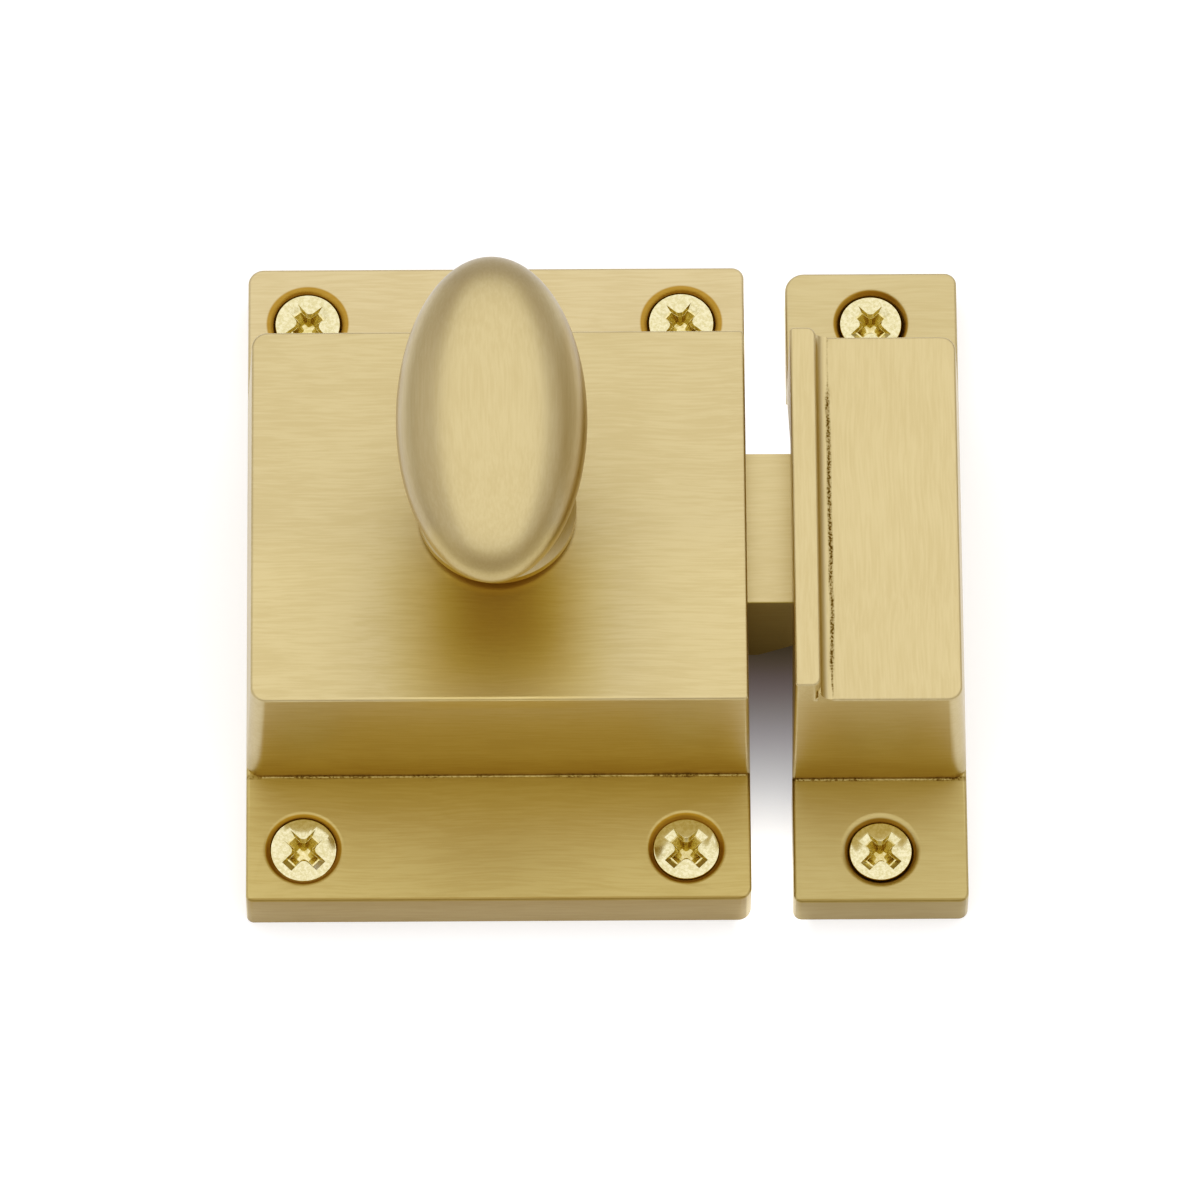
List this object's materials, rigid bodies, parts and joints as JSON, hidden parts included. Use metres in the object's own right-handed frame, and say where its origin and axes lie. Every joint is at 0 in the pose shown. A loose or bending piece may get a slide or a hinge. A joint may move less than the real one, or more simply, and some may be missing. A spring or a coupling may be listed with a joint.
{
  "type": "cabinet latch",
  "caption": "Surface-mounted cabinet latch: a flanged box case with an oval turn knob and a spring bolt, and a matching raised keeper.",
  "frame": {"origin": "the point of the mounting plane on the knob's axis, in the middle of the case's four screws", "axes": "+Z out of the door along the knob's axis, +X towards the keeper, +Y up the door along the case's long side"},
  "size_m": [0.059, 0.0574, 0.054],
  "materials": {
    "satin_brass": "brushed, unlacquered satin",
    "plated_screw": "bright pale plating",
    "back_steel": "plain sheet",
    "zinc_steel": "zinc plated",
    "spring_steel": "drawn wire, oiled"
  },
  "bodies": {
    "case": {"latch_case": "satin_brass", "back_plate": "back_steel", "plate_screws": "zinc_steel", "case_screws": "plated_screw", "keeper": "satin_brass", "keeper_screws": "plated_screw", "bolt_spring": "spring_steel"},
    "knob": {"knob": "satin_brass", "spindle": "zinc_steel", "spindle_clip": "spring_steel", "thrust_washer": "zinc_steel", "cam_lever": "zinc_steel", "cam_pin": "zinc_steel"},
    "bolt": {"latch_bolt": "satin_brass"}
  },
  "joints": [
    {"name": "knob_turn", "type": "hinge", "parent": "case", "child": "knob", "pos_m": [0, 0, 0], "axis": [0, 0, -1], "range_deg": [0, 69.7]},
    {"name": "bolt_slide", "type": "slide", "parent": "case", "child": "bolt", "axis": [-1, 0, 0], "range_m": [0, 0.008], "stiffness_N_per_m": 300, "springref_m": -0.006, "deforming": ["bolt_spring"]}
  ],
  "couplings": [
    {"joint": "knob_turn", "follows": "bolt_slide", "rad_per_m": 152.06}
  ]
}
